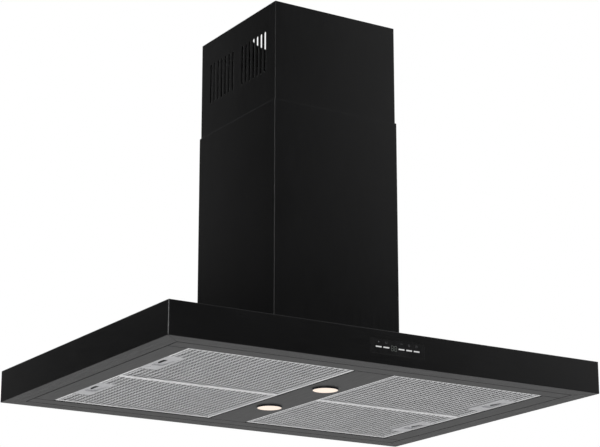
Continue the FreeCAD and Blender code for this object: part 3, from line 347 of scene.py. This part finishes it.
def moulded(name, colour, roughness, grain=1300):
    """Moulded plastic with a fine spark-eroded grain."""
    s = Shade(name, colour, roughness)
    s.shade_colour(s.noise(25, 3.0), 0.94, 1.06)
    s.shade_roughness(s.noise(90, 2.0), roughness * 0.9, roughness * 1.12)
    s.bump(s.noise(grain, 2.0), 0.02 * MM, 0.5)
    return s.material


def lit_lens():
    """A frosted lens, lit warm white."""
    s = Shade("lamp_lens", (0.45, 0.43, 0.4), 0.35)
    s.shade_colour(s.noise(300, 2.0), 0.96, 1.02)
    s.bump(s.cells(700), 0.05 * MM, 0.5)
    s.glow((1.0, 0.79, 0.64), 0.7)
    return s.material


def smoked_window():
    """Dark glass over the touch control."""
    s = Shade("smoked_window", (0.0055, 0.0055, 0.0058), 0.16)
    s.set("Specular IOR Level", 0.2)
    s.shade_colour(s.noise(20, 2.0), 0.9, 1.1)
    s.shade_roughness(s.noise(60, 2.0), 0.14, 0.2)
    return s.material


def glowing_plastic(name, base, colour, strength):
    """Translucent plastic that glows: the light guides are lit from behind, while the display and the
    printed key icons get a faint painted glow.
    """
    s = Shade(name, (base, base, base), 0.3)
    s.set("Specular IOR Level", 0.2)
    s.shade_colour(s.noise(500, 2.0), 0.9, 1.05)
    s.glow(colour, strength)
    return s.material


def circuit_board():
    """Green solder mask over a faint pattern of tracks."""
    s = Shade("circuit_board", (0.012, 0.12, 0.045), 0.35)
    tracks = s.add("ShaderNodeTexBrick")
    tracks.inputs["Scale"].default_value = 160
    tracks.inputs["Mortar Size"].default_value = 0.06
    s.link(s.place, tracks.inputs["Vector"])
    s.shade_colour(tracks.outputs["Fac"], 0.9, 1.9, 0.0, 1.0)
    s.bump(tracks.outputs["Fac"], 0.05 * MM, 0.4)
    return s.material


MATERIALS = {
    "black_enamel": enamel("black_enamel", ALONG_X, CANOPY_EDGE_HIGHLIGHT, "canopy_top"),
    "black_enamel_y": enamel("black_enamel_y", ALONG_Y, CANOPY_EDGE_HIGHLIGHT, "canopy_top"),
    "black_enamel_z": enamel("black_enamel_z", ALONG_Z, CHIMNEY_EDGE_HIGHLIGHT, "upper_chimney"),
    "underside_paint": underside_paint("underside_paint", ALONG_X),
    "underside_paint_y": underside_paint("underside_paint_y", ALONG_Y),
    "frame_paint": powder_coat("frame_paint", (0.008, 0.008, 0.0082)),
    "zinc_steel": galvanised(),
    "fastener_steel": plated("fastener_steel", (0.6, 0.6, 0.6), 0.3),
    "black_fastener": powder_coat("black_fastener", (0.012, 0.012, 0.012)),
    "lamp_metal": plated("lamp_metal", (0.10, 0.10, 0.105), 0.12),
    "lamp_lens": lit_lens(),
    "lamp_heatsink": aluminium("lamp_heatsink", (0.6, 0.6, 0.62), 0.5, 0.65),
    "smoked_window": smoked_window(),
    "light_guide": glowing_plastic("light_guide", 0.15, (1.0, 1.0, 1.0), 0.5),
    # the display's face and digits and the key print are not lit: their faint glow is painted light
    "display_face": glowing_plastic("display_face", 0.01, (0.02, 0.022, 0.02), 1.0),
    "display_digit": glowing_plastic("display_digit", 0.02, (0.09, 0.1, 0.09), 1.0),
    "key_print": glowing_plastic("key_print", 0.02, (0.06, 0.06, 0.064), 1.0),
    "circuit_board": circuit_board(),
    "black_plastic": moulded("black_plastic", (0.022, 0.022, 0.024), 0.5),
    "white_plastic": moulded("white_plastic", (0.7, 0.7, 0.68), 0.42),
    "grey_plastic": moulded("grey_plastic", (0.3, 0.31, 0.32), 0.45),
    "motor_case": powder_coat("motor_case", (0.09, 0.09, 0.1)),
    "capacitor_case": moulded("capacitor_case", (0.75, 0.75, 0.72), 0.3, 900),
    "filter_aluminium": aluminium("filter_aluminium", (0.95, 0.95, 0.955), 0.3, 0.4, ALONG_Y, 0.35),
    "filter_mesh": aluminium("filter_mesh", (0.7, 0.7, 0.71), 0.35, 0.5),
    # the inner layer's darker colour is painted shade for the hollow behind the outer sheet
    "filter_mesh_inner_painted_shade": aluminium("filter_mesh_inner_painted_shade", (0.3, 0.3, 0.3), 0.5, 0.65),
    "latch_plastic": moulded("latch_plastic", (0.53, 0.53, 0.545), 0.3),
}
GRAIN_ALONG_Y = ("canopy_left", "canopy_right", "left_rail", "right_rail", "lamp_bridge")
GRAIN_ALONG_Z = ("upper_chimney", "lower_chimney")


def finish_cad_nodes():
    """Gives every CAD node the material that its slot in the record names, with the grain along the node."""
    slots = {part["node"]: part["material_slot"] for part in frame["record"]["subparts"]}
    for name, node in frame["nodes"].items():
        key = slots[name]
        if name in GRAIN_ALONG_Y:
            key += "_y"
        if name in GRAIN_ALONG_Z:
            key += "_z"
        for slot in node.material_slots:
            slot.material = MATERIALS[key]


# ---- mesh helper ----
def piece(name, bm, finish, body):
    """A new object from bm with that finish, that rides on the body."""
    mesh = bpy.data.meshes.new(name)
    bm.to_mesh(mesh)
    bm.free()
    mesh.materials.append(MATERIALS[finish])
    obj = bpy.data.objects.new(name, mesh)
    bpy.context.scene.collection.objects.link(obj)
    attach(obj, body)
    return obj


def bar(bm, a, b, across, down):
    """A three-sided strand from a to b: a flat back of width 2 x across and a ridge that points down."""
    rings = [[bm.verts.new(end + off) for off in (across, -across, down)] for end in (a, b)]
    for k in range(3):
        bm.faces.new((rings[0][k], rings[0][(k + 1) % 3], rings[1][(k + 1) % 3], rings[1][k]))
    bm.faces.new(rings[0][::-1])
    bm.faces.new(rings[1])


# ---- grease filters ----
def smooth(t):
    t = min(max(t, 0.0), 1.0)
    return t * t * (3 - 2 * t)


def inside(point, corners):
    return corners[0].x < point.x < corners[1].x and corners[0].y < point.y < corners[1].y


def expanded_layer(bm, lo, hi, keep_out, z_edge, z_mid, hole_x, hole_y, strand_w,
                   wave_height=0.0, ridges=False):
    """Diamond mesh from lo to hi: flat at its crimped edges, in waves inside, open round the latch plate."""
    step_x, step_y = hole_x / 2, hole_y / 2
    down = Vector((0, 0, -STRAND_T))
    half_ridge = Vector((RIDGE_W / 2, 0, 0))
    count_x = round((hi.x - lo.x) / step_x)
    count_y = round((hi.y - lo.y) / step_y)

    def node(i, j):
        x = lo.x + i * (hi.x - lo.x) / count_x
        y = lo.y + j * (hi.y - lo.y) / count_y
        inset = min(x - lo.x, hi.x - x, y - lo.y, hi.y - y)
        full = smooth((inset - EDGE_FLAT) / EDGE_TAPER)
        crest = -wave_height * math.cos(2 * math.pi * i * step_x / WAVE_PITCH)
        return Vector((x, y, z_edge + full * (z_mid - z_edge + crest)))

    for j in range(count_y):
        if ridges:
            for i in range(0, count_x + 1, 2):
                if not inside(node(i, j), keep_out):
                    bar(bm, node(i, j), node(i, j + 1), half_ridge, down)
        for i in range(j % 2, count_x + 1, 2):
            for turn in (-1, 1):
                if not 0 <= i + turn <= count_x:
                    continue
                a, b = node(i, j), node(i + turn, j + 1)
                if inside((a + b) / 2, keep_out):
                    continue
                bar(bm, a, b, (b - a).cross(UP).normalized() * strand_w / 2, down)


def filter_mesh(name):
    """The pressed outer sheet of a filter and, over it, a finer inner layer coloured darker as painted
    shade.
    """
    lo, hi = (Vector(c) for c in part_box(name + "_mesh"))
    keep_out = [Vector(c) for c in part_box(name + "_latch_case")]
    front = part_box(name + "_frame")[0][2]
    edge = front + SHEET_T + STRAND_T
    middle = front + WAVE_HEIGHT + STRAND_T
    inner = lo.z + INNER_RISE * (hi.z - lo.z)
    bm = bmesh.new()
    expanded_layer(bm, lo, hi, keep_out, edge, middle, HOLE_X, HOLE_Y, STRAND_W, WAVE_HEIGHT, ridges=True)
    outer_faces = len(bm.faces)
    expanded_layer(bm, lo, hi, keep_out, inner, inner, INNER_HOLE, INNER_HOLE, INNER_STRAND_W)
    # the inner layer takes the darker material, which is painted shade
    for k, face in enumerate(bm.faces):
        face.material_index = int(k >= outer_faces)
    mesh = piece(name + "_expanded_mesh", bm, "filter_mesh", name)
    mesh.data.materials.append(MATERIALS["filter_mesh_inner_painted_shade"])
    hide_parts(name + "_mesh")


# ---- touch control ----
def key_centres():
    """The keys' places along X, and their height; the light guides are the dashes under them."""
    lo, hi = (Vector(c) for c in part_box("control_light_guides"))
    pitch = (hi.x - lo.x - DASH_L) / (KEY_COUNT - 1)
    return [lo.x + DASH_L / 2 + pitch * k for k in range(KEY_COUNT)], (lo.z + hi.z) / 2


def printed(bm, outline, x, z, y_face):
    """A thin plate on the window, over a closed outline of (x, z) points about its centre."""
    front = [bm.verts.new((x + px, y_face - PRINT_PROUD, z + pz)) for px, pz in outline]
    back = [bm.verts.new((x + px, y_face, z + pz)) for px, pz in outline]
    bm.faces.new(front)
    bm.faces.new(back[::-1])
    n = len(outline)
    for k in range(n):
        bm.faces.new((front[k], back[k], back[(k + 1) % n], front[(k + 1) % n]))


def segment(upright=False):
    """A display segment's outline: a bar with pointed ends."""
    half_l, half_t = SEGMENT_HALF_L, SEGMENT_HALF_T
    points = [(-half_l, 0), (-half_l + half_t, -half_t), (half_l - half_t, -half_t)]
    points += [(half_l, 0), (half_l - half_t, half_t), (-half_l + half_t, half_t)]
    return [(-z, x) for x, z in points] if upright else points


def display_digits(y_face):
    """Two digits with every segment equally faint."""
    xs, z_mid = key_centres()
    bm = bmesh.new()
    for digit in (-DIGIT_OFF, DIGIT_OFF):
        x = xs[DISPLAY_KEY] + digit
        for rise in (-2 * DIGIT_HALF_W, 0, 2 * DIGIT_HALF_W):
            printed(bm, segment(), x, z_mid + rise, y_face)
        for side in (-DIGIT_HALF_W, DIGIT_HALF_W):
            for rise in (-DIGIT_HALF_W, DIGIT_HALF_W):
                printed(bm, segment(upright=True), x + side, z_mid + rise, y_face)
    piece("display_digits", bm, "display_digit", "hood")


def ring_icon(bm, x, z, y_face, radius, start=0.0, turn=360.0):
    """A flat ring or arc, printed on the window; start and turn are in degrees."""
    angles = [math.radians(start + turn * k / RING_PIECES) for k in range(RING_PIECES + 1)]
    for a, b in zip(angles, angles[1:]):
        corners = [(a, radius), (b, radius), (b, radius - RING_W), (a, radius - RING_W)]
        printed(bm, [(r * math.cos(t), r * math.sin(t)) for t, r in corners], x, z, y_face)


def key_icons(y_face):
    """A faint plain mark over each key: a dot, rings and arcs."""
    xs, z_mid = key_centres()
    z = z_mid + ICON_RISE
    bm = bmesh.new()
    turns = [2 * math.pi * k / DOT_POINTS for k in range(DOT_POINTS)]
    printed(bm, [(DOT_R * math.cos(t), DOT_R * math.sin(t)) for t in turns], xs[0], z, y_face)
    ring_icon(bm, xs[1], z, y_face, ARC_R, 120, 300)
    ring_icon(bm, xs[3], z, y_face, ARC_R, 0, 180)
    ring_icon(bm, xs[4], z, y_face, RING_R)
    ring_icon(bm, xs[5], z, y_face, RING_R, -60, 300)
    piece("key_icons", bm, "key_print", "hood")


def touch_control():
    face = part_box("control_window")[0][1]
    display_digits(face)
    key_icons(face)


# ---- studio ----
def studio_floor():
    """A wide pale floor, well below the object."""
    level = cad_box[0][2] - FLOOR_DROP
    bm = bmesh.new()
    for x, y in ((-1, -1), (1, -1), (1, 1), (-1, 1)):
        bm.verts.new((FLOOR_HALF * x, FLOOR_HALF * y, level))
    bm.faces.new(bm.verts)
    mesh = bpy.data.meshes.new("studio_floor")
    bm.to_mesh(mesh)
    bm.free()
    s = Shade("studio_floor", (0.78, 0.78, 0.78), 0.8)
    s.shade_colour(s.noise(1.5, 2.0), 0.98, 1.02)
    mesh.materials.append(s.material)
    floor = bpy.data.objects.new("studio_floor", mesh)
    bpy.context.scene.collection.objects.link(floor)


def bearing(turn, rise):
    """The direction that is turn degrees round from -Y, on the +X side, and rise degrees up."""
    turn, rise = math.radians(turn), math.radians(rise)
    return Vector((math.sin(turn) * math.cos(rise), -math.cos(turn) * math.cos(rise), math.sin(rise)))


def cone(degrees):
    """The cosine at the edge of a cone with that half angle."""
    return math.cos(math.radians(degrees))


def studio_world():
    """White behind the object, and for its lighting dim all round with soft bright patches."""
    world = bpy.data.worlds.new("studio")
    bpy.context.scene.world = world
    world.use_nodes = True
    tree = world.node_tree
    tree.nodes.clear()
    add, link = tree.nodes.new, tree.links.new
    direction = add("ShaderNodeTexCoord").outputs["Generated"]

    def patch(towards, start, end, strength):
        """Light from around one direction, rising smoothly as the angle's cosine goes from start to end."""
        dot = add("ShaderNodeVectorMath")
        dot.operation = "DOT_PRODUCT"
        dot.inputs[1].default_value = towards
        link(direction, dot.inputs[0])
        rise = add("ShaderNodeMapRange")
        rise.interpolation_type = "SMOOTHSTEP"
        set_range(rise, start, end, 0.0, strength)
        link(dot.outputs["Value"], rise.inputs["Value"])
        return rise.outputs["Result"]

    def joined(operation, a, b):
        node = add("ShaderNodeMath")
        node.operation = operation
        link(a, node.inputs[0])
        link(b, node.inputs[1])
        return node.outputs["Value"]

    overhead = patch(UP, 0.65, 0.95, 0.9)
    # the front faces mirror these two, which shade them from end to end
    front_right = patch(bearing(57, 22.5), cone(23.7), cone(15), 2.0)
    front_low = patch(bearing(20, 8), cone(14), cone(6), 0.36)
    # the left faces mirror the next two: a patch behind, and a wall of light, more than 14 to 15 degrees
    # up, that starts at the bearing WALL_FROM and brightens from there over about 3 degrees
    behind = patch(bearing(-178, 10), cone(24.5), cone(16), 0.42)
    beyond = patch(bearing(WALL_FROM - 90, 0), 0.0, 0.058, 0.5)
    wall = joined("MULTIPLY", beyond, patch(UP, 0.246, 0.262, 1.0))
    total = overhead
    for extra in (front_right, front_low, behind, wall):
        total = joined("ADD", total, extra)
    plus = add("ShaderNodeMath")
    plus.operation = "ADD"
    link(total, plus.inputs[0])
    plus.inputs[1].default_value = WORLD_BASE

    lighting = add("ShaderNodeBackground")
    link(plus.outputs["Value"], lighting.inputs["Strength"])
    backdrop = add("ShaderNodeBackground")
    backdrop.inputs["Color"].default_value = (1.0, 1.0, 1.0, 1.0)
    mix = add("ShaderNodeMixShader")
    link(add("ShaderNodeLightPath").outputs["Is Camera Ray"], mix.inputs["Fac"])
    link(lighting.outputs["Background"], mix.inputs[1])
    link(backdrop.outputs["Background"], mix.inputs[2])
    link(mix.outputs["Shader"], add("ShaderNodeOutputWorld").inputs["Surface"])


def lamp(name, at, towards, power, width, height):
    """A rectangular area light."""
    data = bpy.data.lights.new(name, "AREA")
    data.energy = power
    data.shape = "RECTANGLE"
    data.size, data.size_y = width, height
    obj = bpy.data.objects.new(name, data)
    obj.location = at
    obj.rotation_euler = (Vector(towards) - Vector(at)).to_track_quat("-Z", "Y").to_euler()
    bpy.context.scene.collection.objects.link(obj)


def studio_lights():
    middle = (Vector(cad_box[0]) + Vector(cad_box[1])) / 2
    low = Vector(cad_box[0])
    # the pool lights the floor, which lights the underside
    lamp("pool_light", middle + Vector((0.5, -1.0, 12)), middle, POOL_POWER, 6, 6)
    # these three light the upright corners, the left faces and the rims
    lamp("corner_softbox", low + Vector((-3.2, -2.0, 1.1)), low, SOFTBOX_POWER, 0.5, 2.4)
    lamp("side_fill", middle + Vector((-2.5, -2.5, 0.4)), middle, SIDE_FILL_POWER, 2.0, 2.0)
    lamp("low_fill", middle + Vector((-2.5, -2.5, -1.9)), middle, LOW_FILL_POWER, 2.0, 2.0)


def camera():
    data = bpy.data.cameras.new("camera")
    data.sensor_width = SENSOR_W
    data.lens = CAMERA_LENS
    obj = bpy.data.objects.new("camera", data)
    obj.location = CAMERA_AT
    obj.rotation_euler = (math.radians(90 + CAMERA_PITCH), 0, math.radians(-CAMERA_YAW))
    bpy.context.scene.collection.objects.link(obj)
    bpy.context.scene.camera = obj


bpy.context.scene.view_settings.view_transform = "Standard"
finish_cad_nodes()
for side in ("front_left", "front_right", "rear_left", "rear_right"):
    filter_mesh("filter_" + side)
touch_control()
studio_floor()
studio_world()
studio_lights()
camera()
